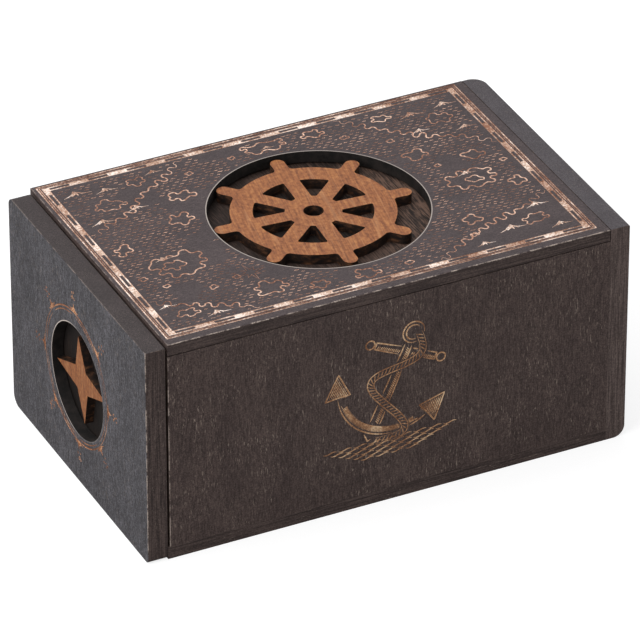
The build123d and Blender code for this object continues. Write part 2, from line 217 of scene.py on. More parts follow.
# %% Finish helper
class Finish:
    """A material under way, with short calls that add nodes and return their sockets."""

    def __init__(self, name, roughness, specular=0.25):
        self.material = bpy.data.materials.new(name)
        self.material.use_nodes = True
        self.tree = self.material.node_tree
        self.shader = self.tree.nodes["Principled BSDF"]
        fill_in(self.shader, {"Roughness": roughness, "Specular IOR Level": specular})
        where = self.node("TexCoord")
        self.place = where.outputs["Object"]
        self.axes = self.node("SeparateXYZ", self.place).outputs
        self.faces = self.node("SeparateXYZ", where.outputs["Normal"]).outputs

    def node(self, kind, *values, **settings):
        return add_node(self.tree, kind, *values, **settings)

    def math(self, operation, first, second=0.0):
        return self.node("Math", first, second, operation=operation).outputs[0]

    # Plain names for common operations
    times = partialmethod(math, "MULTIPLY")
    plus = partialmethod(math, "ADD")
    minus = partialmethod(math, "SUBTRACT")
    nearer = partialmethod(math, "MINIMUM")
    farther = partialmethod(math, "MAXIMUM")

    def mixture(self, *parts):
        """Sum of values, each times its share."""
        return reduce(self.plus, [self.times(value, share) for value, share in parts])

    def noise(self, sizes, detail=3.0, roughness=0.55, turn=0.0, seed=0.0):
        """Noise with grains of the given millimetres, even or along x, y and z, turned about z by degrees."""
        sizes = sizes if isinstance(sizes, tuple) else (sizes,) * 3
        shift = self.node("Mapping", self.place, (0, 0, 0), (0, 0, radians(turn)), (1, 1, 1))
        scale = tuple(1 / (size * MM) for size in sizes)
        offset = (seed, 2 * seed, 3 * seed)
        mapped = self.node("Mapping", shift.outputs[0], offset, (0, 0, 0), scale)
        return self.node("TexNoise", mapped.outputs[0], 0, 1, detail, roughness).outputs["Fac"]

    def grain(self, across, along, axis, *looks, **more):
        """Noise drawn out along one axis."""
        return self.noise(tuple(along if a == axis else across for a in range(3)), *looks, **more)

    def step(self, value, low, high):
        """Soft threshold from 0 at low to 1 at high; a low above high turns it round."""
        return self.node("MapRange", value, low, high, interpolation_type="SMOOTHSTEP").outputs[0]

    def facing(self, axis, low=0.4, high=0.8):
        """Soft threshold on how squarely the surface faces along an axis, either way."""
        return self.step(self.math("ABSOLUTE", self.faces[axis]), low, high)

    def ramp(self, value, positions, colours):
        made = self.node("ValToRGB", value)
        band = made.color_ramp
        while len(band.elements) < len(positions):
            band.elements.new(0.5)
        for element, position, colour in zip(band.elements, positions, colours):
            element.position = position
            element.color = colour
        return made.outputs["Color"]

    def over(self, base, colour, cover, *shares):
        """A colour laid over a base as strongly as its cover and shares, multiplied, say."""
        made = self.node("Mix", data_type="RGBA")
        fill_in(made, {0: reduce(self.times, shares, cover), 6: base, 7: colour})
        return made.outputs[2]

    def edge_distance(self, low, high):
        """Metres to the nearest edge of a board: the middle one of the distances to its faces."""
        reach = []
        for axis in range(3):
            down = self.minus(self.axes[axis], low[axis])
            up = self.minus(high[axis], self.axes[axis])
            reach.append(self.nearer(down, up))
        return self.farther(self.nearer(*reach[:2]), self.nearer(self.farther(*reach[:2]), reach[2]))

    def worn_edge(self, low, high, edge, width, seed):
        """Where the stain is rubbed off along one edge, given as (axis, side, other axis, its side)."""
        near = []
        for axis, side in (edge[:2], edge[2:]):
            face = (high if side > 0 else low)[axis]
            near.append(self.math("ABSOLUTE", self.minus(self.axes[axis], face)))
        fray = self.times(self.minus(self.noise(0.5, 2, seed=seed), 0.5), 0.6 * MM)
        reach = self.plus(self.farther(*near), fray)
        patches = self.noise(3.5, 4, 0.65, seed=seed + 1)
        return self.times(self.step(reach, width * MM, 0.2 * width * MM), self.step(patches, 0.42, 0.56))

    def radius(self, centre, axis):
        """Metres from an axis line through a centre."""
        sides = [self.minus(self.axes[a], centre[a]) for a in range(3) if a != axis]
        return self.math("SQRT", self.plus(*[self.times(side, side) for side in sides]))

    def colour(self, socket):
        fill_in(self.shader, {"Base Color": socket})

    def bump(self, height, depth):
        made = self.node("Bump")
        fill_in(made, {"Distance": depth * MM, "Height": height})
        fill_in(self.shader, {"Normal": made.outputs[0]})


# %% [markdown]
# ## Stained plywood
# The outside is birch plywood under a thin espresso stain. The stain settles in the pores, so the grain
# shows as fine streaks, and where it missed, small pale flecks are left. Handling has rubbed it off
# along the edges; a thin pale line along every edge is partly that wear and partly a painted highlight.
# The inside is bare wood, with stain only where it crept round the edge. A photograph of wood could be
# laid on, but noise drawn out along the grain fits any board and has no seams.

# %% Stained plywood
bare_birch = card((176, 138, 98), (205, 170, 128), (222, 190, 150))
browned = card((72, 46, 31), (140, 98, 64))


def bare_wood(finish, grain_axis, seed=0.0):
    """Colour of bare birch with its grain along an axis."""
    streaks = finish.grain(0.5, 14, grain_axis, 4, 0.6, seed=seed)
    cloud = finish.grain(7, 30, grain_axis, 2, seed=seed + 3)
    mixed = finish.mixture((streaks, 0.7), (cloud, 0.3))
    return finish.ramp(mixed, (0.36, 0.5, 0.64), bare_birch)


def layers(finish, thickness_axis, low, high, count, tones):
    """Colour of a plywood edge: layers that alternate between two browns through the thickness."""
    depth = finish.minus(finish.axes[thickness_axis], low[thickness_axis])
    turns = finish.times(depth, count / (high[thickness_axis] - low[thickness_axis]) * pi)
    wave = finish.math("ABSOLUTE", finish.math("SINE", turns))
    wobble = finish.grain(3, 0.5, thickness_axis, 3)
    return finish.ramp(finish.mixture((wave, 0.5), (wobble, 0.5)), (0.3, 0.75), tones)


def stained_board(node, thickness_axis, grain_axis, tones, edge_tones, top_tones=None, inner=None, worn=(),
                  flecks=0.5, seed=0.0):
    """Finish of a stained board. Tones are dark, middle and light; inner is its bare side, +1 or -1."""
    low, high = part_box(node)
    finish = Finish("stained_" + node, roughness=0.62)

    def stained(pattern, colours):
        return finish.ramp(pattern, (0.40, 0.5, 0.61), colours)

    streaks = finish.grain(0.26, 2.4, grain_axis, 3, 0.65, seed=seed)
    cloud = finish.grain(9, 24, grain_axis, 2, seed=seed + 1)
    mottle = finish.noise(0.4, 2, 0.6, seed=seed + 2)
    mixed = finish.mixture((streaks, 0.45), (cloud, 0.12), (mottle, 0.43))
    edge_lines = finish.grain(16, 0.45, thickness_axis, 3, seed=seed + 3)
    edge_mixed = finish.mixture((edge_lines, 0.6), (mottle, 0.4))
    flat = finish.facing(thickness_axis)
    stain = finish.over(stained(edge_mixed, edge_tones), stained(mixed, tones), flat)
    if top_tones:
        stain = finish.over(stain, stained(mixed, top_tones), finish.step(finish.faces[Z], 0.4, 0.8))
    pale = finish.step(finish.grain(0.26, 1.7, grain_axis, 2, 0.5, seed=seed + 5), 0.63, 0.71)
    places = finish.step(finish.noise(12, 2, seed=seed + 6), 0.36, 0.6)
    stain = finish.over(stain, paint(158, 142, 130), pale, places, flecks)
    distance = finish.edge_distance(low, high)
    # A thin pale line along every edge, in patches, is partly rubbed stain and partly a painted highlight.
    rim = finish.step(distance, 0.22 * MM, 0.05 * MM)
    patches = finish.noise(4, 3, 0.6, seed=seed + 7)
    stain = finish.over(stain, paint(150, 132, 120), rim, finish.step(patches, 0.60, 0.68), 0.4)
    for number, (edge, strength) in enumerate(worn):
        rubbed = finish.worn_edge(low, high, edge, 0.34, seed + 11 * number)
        stain = finish.over(stain, paint(196, 180, 168), rubbed, strength)
    if inner:
        inward = finish.step(finish.times(finish.faces[thickness_axis], inner), 0.4, 0.8)
        crept = finish.plus(distance, finish.times(finish.minus(patches, 0.5), 4 * MM))
        unstained = finish.step(crept, 0.6 * MM, 1.6 * MM)
        stain = finish.over(stain, bare_wood(finish, grain_axis, seed), inward, unstained)
    finish.colour(stain)
    finish.bump(streaks, 0.06)
    return finish, stain


def opening_char_shade_and_highlight(finish, stain, centre, axis, opening, rim_highlight_share):
    """Blacken the wall of a round opening, as char and painted shade, and paint a highlight on its rim."""
    from_axis = finish.radius(centre, axis)
    near = finish.step(from_axis, opening + 0.6 * MM, opening + 0.3 * MM)
    # The black of the wall is partly laser char and partly painted shade.
    soot = finish.ramp(finish.noise(3, 3, seed=9), (0.4, 0.62), card((17, 15, 14), (36, 31, 29)))
    stain = finish.over(stain, soot, near, finish.facing(axis, 0.7, 0.4))
    # The pale ring on the rim is a painted highlight, as strong as its share.
    away = finish.math("ABSOLUTE", finish.minus(from_axis, opening + 0.13 * MM))
    rim = finish.step(away, 0.22 * MM, 0.08 * MM)
    finish.colour(finish.over(stain, paint(206, 194, 184), rim, finish.facing(axis, 0.4, 0.7), rim_highlight_share))


espresso = card((55, 45, 43), (77, 64, 61), (104, 89, 83))
brown_edge = card((52, 43, 41), (71, 59, 56), (94, 80, 75))
charcoal = card((51, 43, 44), (66, 57, 58), (85, 74, 74))
graphite = card((56, 51, 53), (70, 65, 68), (88, 83, 86))
# The drawer panel's face is greyer and bluer than the brown boards: its stain with a painted sheen.
stain_with_painted_sheen = card((44, 42, 44), (72, 70, 73), (108, 106, 111))
panel_top = card((40, 34, 34), (53, 46, 46), (72, 63, 63))
cap_edge = card((68, 57, 54), (90, 77, 73), (114, 99, 94))
print("stain colours set")

# %% [markdown]
# ## Engraving as real grooves
# The laser burns narrow grooves. A bump map could show them, but real ones stay crisp in a close view. A
# drawing is a curve object: each stroke is a spline, and a bevel with four sides gives it a diamond
# section. Laid on the surface, its lower half is exactly a V groove. The curves become a mesh, and a
# Boolean modifier cuts it out of a copy of the board. Faces of the groove keep the material number of
# the cutter, so the groove gets its own finish in the same step. A cutter may not pass through itself,
# so strokes that come near one another go on separate sheets, cut one after the other.

# %% Engraving helpers
weld = 1e-6
groove_squash = 0.6
sheet_gap = 0.12
least_wood = 0.95
smooth_angle = radians(30)
groove_copper, groove_pale, groove_dull = 1, 2, 3


def only(piece):
    """Select one object alone, because an operator acts on all that is selected."""
    bpy.ops.object.select_all(action="DESELECT")
    piece.select_set(True)
    bpy.context.view_layer.objects.active = piece


def select_mesh(piece):
    """Enter edit mode with the whole mesh of one object selected."""
    only(piece)
    bpy.ops.object.mode_set(mode="EDIT")
    bpy.ops.mesh.select_all(action="SELECT")


def dress(piece, materials):
    """Give a piece these materials and no others."""
    piece.data.materials.clear()
    for material in materials:
        piece.data.materials.append(material)


def board_copy(node, materials, face_axes, pitch=6.0):
    """Welded copy of a board's mesh, with these materials and its faces divided along a grid."""
    piece = add_object("engraved_" + node, nodes[node].data.copy())
    select_mesh(piece)
    bpy.ops.mesh.remove_doubles(threshold=weld)
    bpy.ops.object.mode_set(mode="OBJECT")
    bpy.ops.mesh.customdata_custom_splitnormals_clear()
    low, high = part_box(node)
    select_mesh(piece)
    for axis in face_axes:
        normal = [float(axis == a) for a in range(3)]
        count = round((high[axis] - low[axis]) / MM / pitch)
        for number in range(1, count):
            place = [n * (low[axis] + (high[axis] - low[axis]) * number / count) for n in normal]
            bpy.ops.mesh.select_all(action="SELECT")
            bpy.ops.mesh.bisect(plane_co=place, plane_no=normal)
    bpy.ops.object.mode_set(mode="OBJECT")
    dress(piece, materials)
    return piece


# %% Drawing and cutting
def drawing(name, strokes):
    """Curve object of (points in mm, width in mm, closed) strokes, flat in XY, made a mesh."""
    curve = bpy.data.curves.new(name, "CURVE")
    curve.dimensions = "3D"
    curve.twist_mode = "Z_UP"
    curve.bevel_depth = 1.0
    curve.bevel_resolution = 0
    curve.use_fill_caps = True
    for points, width, closed in strokes:
        last = len(points) - 1
        spline = curve.splines.new("POLY")
        spline.points.add(last)
        spline.use_cyclic_u = closed
        for number, (u, v) in enumerate(points):
            end = min(number, last - number) / max(1, last)
            taper = 1.0 if closed else min(1.0, 0.25 + 3.0 * end)
            spline.points[number].co = (u * MM, v * MM, 0, 1)
            spline.points[number].radius = width / 2 * MM * taper
    only(add_object(name, curve))
    bpy.ops.object.convert(target="MESH")
    piece = bpy.context.active_object
    select_mesh(piece)
    bpy.ops.transform.resize(value=(1, 1, groove_squash), center_override=(0, 0, 0))
    bpy.ops.mesh.remove_doubles(threshold=weld)
    bpy.ops.object.mode_set(mode="OBJECT")
    return piece


def carve(piece, tool, slot, location=(0, 0, 0), turn=(0, 0, 0)):
    """Cut a tool out of a piece; the new faces get the material of that slot."""
    tool.location = location
    tool.rotation_euler = turn
    dress(tool, piece.data.materials)
    for face in tool.data.polygons:
        face.material_index = slot
    only(piece)
    before = len(piece.data.polygons)
    cut = piece.modifiers.new("cut", "BOOLEAN")
    cut.operation = "DIFFERENCE"
    cut.solver = "MANIFOLD"
    cut.object = tool
    bpy.ops.object.modifier_apply(modifier=cut.name)
    print(" ", tool.name, "cut into", piece.name, "faces", before, "to", len(piece.data.polygons))
    if len(piece.data.polygons) <= before:
        raise RuntimeError(f"{tool.name} cut nothing out of {piece.name}")
    bpy.data.objects.remove(tool)


def sheets(strokes):
    """Spread strokes over sheets on which none comes near another, by the cells of a grid they pass."""
    cell = max(width for _, width, _ in strokes) + sheet_gap
    made = []
    for points, width, closed in strokes:
        own = set()
        for (x0, y0), (x1, y1) in zip(points, points[1:] + (points[:1] if closed else [])):
            steps = max(1, int(hypot(x1 - x0, y1 - y0) / cell * 2) + 1)
            own |= {(int((x0 + (x1 - x0) * i / steps) // cell), int((y0 + (y1 - y0) * i / steps) // cell))
                    for i in range(steps + 1)}
        wide = {(x + dx, y + dy) for x, y in own for dx in (-1, 0, 1) for dy in (-1, 0, 1)}
        for sheet in made:
            if not own & sheet["wide"]:
                break
        else:
            sheet = {"wide": set(), "strokes": []}
            made.append(sheet)
        sheet["wide"] |= wide
        sheet["strokes"].append((points, width, closed))
    return [sheet["strokes"] for sheet in made]


def engrave(piece, name, strokes, slot, location, turn=(0, 0, 0), alone=False):
    """Cut any strokes out of a piece, sheet by sheet, or one by one."""
    for number, sheet in enumerate([[stroke] for stroke in strokes] if alone else sheets(strokes)):
        carve(piece, drawing(f"{name}_{number}", sheet), slot, location, turn)


# %% Check of a cut board
def check_and_smooth(piece, node):
    """Stop if the cutting left the mesh open or took more than a little wood, else shade it by angle."""
    sizes = []
    for mesh in (nodes[node].data, piece.data):
        body = bmesh.new()
        body.from_mesh(mesh)
        torn = sum(not edge.is_manifold for edge in body.edges)
        sizes.append(body.calc_volume())
        body.free()
    left = sizes[1] / sizes[0]
    print(" ", piece.name, len(piece.data.polygons), "faces, open edges", torn, "wood left", round(left, 4))
    if torn or not least_wood < left <= 1:
        raise RuntimeError(f"{piece.name} is torn")
    only(piece)
    bpy.ops.object.shade_smooth_by_angle(angle=smooth_angle)


# %% Circles, frames and blocks
def circle(x, y, radius, start=0, end=360, step=6):
    """Points of an arc in degrees; a whole circle leaves out its last point."""
    count = max(3, round(abs(end - start) / step))
    whole = abs(end - start) >= 360
    angles = [radians(start + (end - start) * i / count) for i in range(count if whole else count + 1)]
    return [(x + radius * cos(a), y + radius * sin(a)) for a in angles]


def stretch(piece, rectangle, middle=0.0, height=1.0):
    """Stretch a unit plane or cube over a rectangle (left, right, front, back), all in mm."""
    left, right, front, back = rectangle
    place = Matrix.Translation(((left + right) / 2 * MM, (front + back) / 2 * MM, middle * MM))
    piece.data.transform(place @ Matrix.Diagonal(((right - left) * MM, (back - front) * MM, height * MM, 1)))


def frame_tool(name, rectangle, width, depth):
    """Cutter for a rectangular frame line: a plane is inset, its middle removed and the rim extruded."""
    bpy.ops.mesh.primitive_plane_add(size=1.0)
    piece = bpy.context.active_object
    piece.name = name
    stretch(piece, rectangle, depth)
    select_mesh(piece)
    bpy.ops.mesh.inset(thickness=width * MM)
    bpy.ops.mesh.delete(type="FACE")
    bpy.ops.mesh.select_all(action="SELECT")
    bpy.ops.mesh.extrude_region_move(TRANSFORM_OT_translate={"value": (0, 0, -2 * depth * MM)})
    bpy.ops.mesh.select_all(action="SELECT")
    bpy.ops.mesh.normals_make_consistent(inside=False)
    bpy.ops.object.mode_set(mode="OBJECT")
    return piece


def box_tool(name, rectangles, height):
    """Cutter of separate blocks over rectangles, as high above as below zero."""
    blocks = []
    for rectangle in rectangles:
        bpy.ops.mesh.primitive_cube_add(size=1.0)
        blocks.append(bpy.context.active_object)
        stretch(blocks[-1], rectangle, height=height)
    for block in blocks:
        block.select_set(True)
    bpy.context.view_layer.objects.active = blocks[0]
    bpy.ops.object.join()
    blocks[0].name = name
    return blocks[0]


# %% [markdown]
# ## Engraved wood
# Where the laser went, the stain is gone and the wood is toasted. A shallow pass leaves dull copper, a
# slow pass a pale tan with darker burnt spots. All are one recipe with other colours.


# %% Engraved wood
def engraved_wood(name, burnt, toasted, pale, seed, darker_from=None):
    """Groove finish in three tones; it may be a little darker on the right, from an x in mm."""
    fade_width, fade_share = 5, 0.04
    finish = Finish(name, roughness=0.7)
    spots = finish.noise(0.6, 3, 0.6, seed=seed)
    regions = finish.noise(8, 2, seed=seed + 4)
    mixed = finish.mixture((spots, 0.5), (regions, 0.5))
    if darker_from is not None:
        darker = finish.step(finish.axes[X], darker_from * MM, (darker_from + fade_width) * MM)
        mixed = finish.minus(mixed, finish.times(darker, fade_share))
    finish.colour(finish.ramp(mixed, (0.38, 0.5, 0.60), card(burnt, toasted, pale)))
    return finish.material


copper_groove = engraved_wood("copper_groove", (108, 70, 53), (174, 130, 108), (232, 198, 176), 1.0)
pale_groove = engraved_wood("pale_groove", (144, 100, 78), (207, 176, 156), (255, 240, 229), 2.0, 58)
golden_groove = engraved_wood("golden_groove", (134, 92, 64), (194, 149, 110), (236, 204, 166), 3.0)
rust_groove = engraved_wood("rust_groove", (92, 62, 48), (150, 100, 70), (206, 160, 124), 4.0)
dull_groove = engraved_wood("dull_groove", (88, 60, 48), (144, 106, 88), (208, 170, 148), 5.0)
print("five engraved finishes")

# %% [markdown]
# ## The lid
# The lid carries a sea chart: a border like a map's scale bar, crinkled shores and islands, small pale
# peaks, a compass rose and hundreds of short wave marks. A shore starts as a smooth line; a second step
# bends it into bays and headlands. The waves are one small stroke, repeated in staggered rows wherever
# there is open sea.

# %% Chart border
_, lid_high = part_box("lid")
opening_centre = Vector((0.3, 0, 0)) * MM
opening_radius = 31.75
engraving_depth = 0.2
border = (-67.1, 66.0, -43.4, 45.3)
line_width = 0.42
rust_inset, rust_width = 0.66, 0.34
band_inset, band_width = 1.35, 1.9
segment = 6.0
core_width = 0.95
field_gap = 0.5


def drawn_in(rectangle, width):
    """Rectangle (left, right, front, back) drawn in by a width on every side."""
    left, right, front, back = rectangle
    return left + width, right - width, front + width, back - width


def band_cores(low, high):
    """Low and high ends of every second segment of the scale bar between two corners."""
    count = int((high - low - 2 * band_width) // segment) // 2 * 2 + 1
    start = (low + high - count * segment) / 2
    return [(start + i * segment, start + (i + 1) * segment) for i in range(0, count, 2)]


band = drawn_in(border, band_inset)
outer_left, outer_right, outer_front, outer_back = drawn_in(band, (band_width - core_width) / 2)
cores = []
for low, high in band_cores(*band[:2]):
    cores.append((low, high, outer_front, outer_front + core_width))
    cores.append((low, high, outer_back - core_width, outer_back))
for low, high in band_cores(*band[2:]):
    cores.append((outer_left, outer_left + core_width, low, high))
    cores.append((outer_right - core_width, outer_right, low, high))

lid_worn = [((Y, -1, Z, 1), 0.85), ((X, -1, Z, 1), 0.3)]
lid_finish, lid_stain = stained_board("lid", Z, X, charcoal, brown_edge, worn=lid_worn, flecks=0.2, seed=11)
# The opening in the lid gets painted shade on its charred wall and a painted highlight on its rim.
opening_char_shade_and_highlight(lid_finish, lid_stain, opening_centre, Z, opening_radius * MM, 0.6)
engraved_lid = board_copy("lid", [lid_finish.material, copper_groove, pale_groove, dull_groove], (X, Y))
lid_top = (0, 0, lid_high.z)
outer_line = frame_tool("outer_line", border, line_width, engraving_depth)
carve(engraved_lid, outer_line, groove_pale, lid_top)
rust_line = frame_tool("rust_line", drawn_in(border, rust_inset), rust_width, engraving_depth / 2)
carve(engraved_lid, rust_line, groove_dull, lid_top)
scale_bar = frame_tool("scale_bar", band, band_width, engraving_depth)
scale_bar.data.materials.append(pale_groove)
carve(scale_bar, box_tool("bar_cores", cores, 2), 0)
carve(engraved_lid, scale_bar, groove_pale, lid_top)
print(len(cores), "dark cores in the scale bar")


# %% Crinkled lines
def heading(start, end):
    """Unit direction from one point to another."""
    span = dist(start, end) or 1.0
    return (end[0] - start[0]) / span, (end[1] - start[1]) / span


def beside(point, way, out, on=0.0):
    """A point moved out to the left of a direction, and on along it."""
    return point[0] - way[1] * out + way[0] * on, point[1] + way[0] * out + way[1] * on


def crinkled(rng, points, closed, size=1.1, pitch=4.2):
    """Bend a smooth dense line into bays and headlands, with a swing along it that widens their tips."""
    count = len(points)
    if closed:
        length = sum(dist(start, end) for start, end in zip(points, points[1:] + points[:1]))
    else:
        length = dist(points[0], points[-1]) * 1.15
    bays = max(3, round(length / pitch))
    drifts = [(k, rng.uniform(0.2, 0.6) / k, rng.uniform(0, tau)) for k in (1, 2, 3)]
    swells = [(k, rng.uniform(0, tau)) for k in (2, 3, 5)]
    bent = []
    for i, point in enumerate(points):
        before = points[i - 1] if closed or i else points[0]
        after = points[(i + 1) % count] if closed or i < count - 1 else points[-1]
        turn = tau * i / count
        phase = bays * turn + sum(reach * sin(k * turn + start) for k, reach, start in drifts)
        share = 0.72 + 0.28 * sum(sin(k * turn + start) for k, start in swells) / 1.6
        if not closed:
            share *= min(1, i / 9, (count - 1 - i) / 9)
        on = -0.06 * pitch * share * sin(2 * phase)
        bent.append(beside(point, heading(before, after), size * share * sin(phase), on))
    return bent


def island(rng, x, y, length, depth, size=1.1, pitch=4.2, step=0.22):
    """Closed crinkled outline about a centre; a small island gets small bays."""
    waves = [(k, rng.uniform(-1, 1) * 0.2 / k**0.5, rng.uniform(0, tau)) for k in range(2, 5)]
    count = int(pi * (length + depth) / 2 / step)
    points = []
    for i in range(count):
        angle = tau * i / count
        reach = 1 + sum(share * sin(k * angle + phase) for k, share, phase in waves)
        points.append((x + length / 2 * reach * cos(angle), y + depth / 2 * reach * sin(angle)))
    return crinkled(rng, points, True, min(size, 0.19 * depth), min(pitch, 0.9 * depth))


def shore(rng, start, end, wander, step=0.24):
    """Open crinkled line between two points."""
    waves = [(k, rng.uniform(-1, 1) * wander / k, rng.uniform(0, tau)) for k in range(1, 6)]
    length = dist(start, end)
    way = heading(start, end)
    count = int(length * 1.2 / step)
    points = []
    for i in range(count + 1):
        share = i / count
        bow = sum(size * sin(pi * k * share + phase) for k, size, phase in waves)
        off = bow * min(1, 6 * share, 6 - 6 * share)
        points.append(beside(start, way, off, length * share))
    return crinkled(rng, points, False, 1.25, 4.4)


def inside(point, outline):
    """True if a point lies within a closed outline."""
    x, y = point
    hit = False
    for (x1, y1), (x2, y2) in zip(outline, outline[1:] + outline[:1]):
        if (y1 > y) != (y2 > y) and x < x1 + (x2 - x1) * (y - y1) / (y2 - y1):
            hit = not hit
    return hit


def peak(x, y, height, rng):
    """Strokes of a small mountain: a long ridge line, and broad ones that fill its lit side."""
    lean = rng.uniform(-0.2, 0.2) * height
    height *= 1.15
    ridge = [(-1.9, -0.25), (-1.0, 0.1), (-0.45, 0.5), (lean, 1.0), (0.4, 0.55), (0.95, 0.2), (2.1, 0.08)]
    strokes = [(ridge, 0.22), ([(lean - 0.05, 0.85), (-0.3, 0.4), (-0.75, -0.05)], 0.55),
               ([(lean + 0.08, 0.7), (0.1, 0.3), (0.2, -0.1)], 0.36), ([(0.62, 0.3), (0.85, -0.05)], 0.26)]
    return [([(x + u * height, y + v * height) for u, v in points], max(0.34, width * height), False)
            for points, width in strokes]


# %% Shores, islands and peaks
field_left, field_right, field_front, field_back = drawn_in(band, band_width + field_gap)
rng = Random(7)
shores = [
    shore(rng, (field_left, 13), (-23, field_back), 2.6),
    shore(rng, (25, field_back), (field_right, 11), 2.8),
    shore(rng, (19, field_front), (field_right, -19), 2.4),
    shore(rng, (field_left, -24), (-37, field_front), 2.0),
]
corners = [(field_left, field_back), (field_right, field_back),
           (field_right, field_front), (field_left, field_front)]
lands = [line + [corner] for line, corner in zip(shores, corners)]
isles = [island(rng, *spot) for spot in (
    (-47.5, -9.5, 15, 11.5), (-30, -31.5, 9.5, 5.6), (-58.5, 3.5, 5, 4.2), (1, 37.4, 13, 4.8),
    (46.5, -4, 14, 9.5), (-2.5, -36.6, 6.4, 4.4), (-17, -36.2, 5.5, 3.4), (38, 14.5, 7, 4.8),
    (53, 7.5, 6, 4.4), (-37, 12, 6.4, 5.2), (16.5, 37.8, 6, 3.6), (36.5, -24, 5.4, 4),
    (-31.5, 23.5, 6.6, 4.6), (58, -10.5, 4.6, 4))]
inlets = [island(rng, *spot, 0.65, 3.4) for spot in (
    (-49, -9.5, 6, 4.4), (-52, 27.5, 8.5, 5), (-40, 36, 6, 3.4), (53.5, 30, 7.5, 5),
    (38, 37, 5.5, 3), (53, -31, 7, 4.4), (47, -4.5, 4.6, 3.2), (-56, -33.5, 5.6, 3.8))]
rocks = [island(rng, x, y, size, size * 0.75, 0.22, 2.4) for x, y, size in (
    (-36, -22.5, 2.2), (-60, -12.5, 2.4), (35, 24.5, 2.2), (59.5, 1.5, 2), (-44, -24.5, 2.4),
    (24, 32, 2.4), (-24.5, 33.5, 2.2), (33.5, -31.5, 2.2), (10.5, -36.8, 2.4), (-55.5, -18.5, 2),
    (41, 6.5, 1.8), (-10, 35.8, 2))]
peaks = []
for spot in ((-58, 36.5, 1.9), (-49.5, 35, 1.5), (-57.5, 19.5, 1.7), (-45.5, 22.5, 1.4), (-33.5, 38.3, 1.3),
             (58, 36, 1.7), (47, 34.5, 1.9), (58, 22, 1.5), (45, 25.5, 1.4), (56.5, -25, 1.6),
             (44.5, -33.5, 1.9), (34, -37.6, 1.3), (58, -37.3, 1.5), (46.5, -1.2, 1.3), (-50.5, -5.6, 1.2),
             (-60, -28.5, 1.2), (-48.5, -37.4, 1.6), (1.5, 36.4, 1)):
    peaks += peak(*spot, rng)
print(len(isles), "islands,", len(peaks), "strokes for the peaks")

# %% Compass rose
rose_x, rose_y, rose_reach = -31.5, -22.0, 4.6
rose_turn = 8
rose_shares = (1.0, 0.3, 0.66, 0.3)


def rose_point(angle, radius):
    turned = radians(angle + rose_turn)
    return (rose_x + radius * cos(turned), rose_y + radius * sin(turned))


rose_outline = [rose_point(22.5 * i, rose_reach * rose_shares[i % 4]) for i in range(16)]
print("rose of", len(rose_outline), "points")


# %% Waves
def point_tree(points):
    """Search tree that finds the nearest one of some flat points."""
    tree = kdtree.KDTree(len(points))
    for number, (x, y) in enumerate(points):
        tree.insert((x, y, 0), number)
    tree.balance()
    return tree


marks = [point for outline in lands + isles + inlets + rocks for point in outline]
marks += [point for points, *_ in peaks for point in points]
marks += [rose_point(45 * i, rose_reach * share) for i in range(8) for share in (0.3, 0.6, 0.9)]
land = point_tree(marks)
coarse = [outline[::6] for outline in lands + isles]
wave_pitch, wave_row, wave_length, wave_width = 2.25, 1.22, 1.75, 0.33
land_gap, rim_gap, calm_limit, wave_share = 0.72, 1.4, 0.27, 0.93
front_gap, back_gap, end_gap = 0.7, 0.4, 1.1
waves = []
rng = Random(21)
row = 0
y = field_front + front_gap
while y < field_back - back_gap:
    x = field_left + end_gap + (row % 2) * wave_pitch / 2 + rng.uniform(-0.4, 0.4)
    while x < field_right - end_gap:
        u, v = x + rng.uniform(-0.3, 0.3), y + rng.uniform(-0.2, 0.2)
        half = wave_length * rng.uniform(0.6, 1.1) / 2
        calm = noise.noise((u / 15, v / 12, 4.2))
        open_sea = hypot(u - opening_centre.x / MM, v) > opening_radius + rim_gap
        if open_sea and calm < calm_limit and rng.random() < wave_share:
            clear = all(land.find((u + end * half, v, 0))[2] > land_gap for end in (-1, 0, 1))
            if clear and not any(inside((u, v), outline) for outline in coarse):
                lift = rng.uniform(0.05, 0.14)
                wave = [(u + half * along, v + lift * side)
                        for along, side in ((-1, -1), (-1 / 3, 1), (1 / 3, -1), (1, 1))]
                waves.append((wave, wave_width * rng.uniform(0.75, 1.1), False))
        x += wave_pitch
    y += wave_row
    row += 1
print(len(waves), "wave marks")

# %% Cut the chart
coast_width, fine_width = 0.46, 0.38
engrave(engraved_lid, "waves", waves, groove_dull, lid_top)
coasts = [(line, coast_width, False) for line in shores] + [(line, coast_width, True) for line in isles]
engrave(engraved_lid, "coasts", coasts, groove_copper, lid_top, alone=True)
small = [(line, fine_width, True) for line in inlets + rocks + [rose_outline]]
engrave(engraved_lid, "inlets", small, groove_copper, lid_top, alone=True)
engrave(engraved_lid, "peaks", peaks, groove_pale, lid_top)
check_and_smooth(engraved_lid, "lid")
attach(engraved_lid, "shell")
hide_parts("lid")

# %% [markdown]
# ## The front
# An anchor with its rope is engraved on the front wall, over a swell. It is drawn upright about the
# middle of its shank, then tilted. The rope is one wandering line with an outline on each side and a
# slanted mark for every turn of its strands. Strokes are clipped where the rope lies over them.

# %% Rope
wall_low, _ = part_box("front_wall")
anchor_z, anchor_tilt, anchor_size = 37.6, -24, 1.16


def line(start, end, step=0.4):
    """Points about a step apart on a straight line."""
    count = max(2, int(dist(start, end) / step))
    run, rise = end[0] - start[0], end[1] - start[1]
    return [(start[0] + run * i / count, start[1] + rise * i / count) for i in range(count + 1)]


def path(*corners, side=1):
    """Line through corners with a point every 0.4 mm; a side of -1 mirrors it across the shank."""
    corners = [(side * x, y) for x, y in corners]
    points = [corners[0]]
    for start, end in zip(corners, corners[1:]):
        points += line(start, end)[1:]
    return points


def rope_at(share):
    """Middle of the rope: it hangs from the ring and swings across the shank in growing curves."""
    swing = 2.6 + 6.5 * share**0.8
    return (swing * sin(tau * 1.42 * share + 0.35) + 0.5, 15.6 - 30.5 * share)


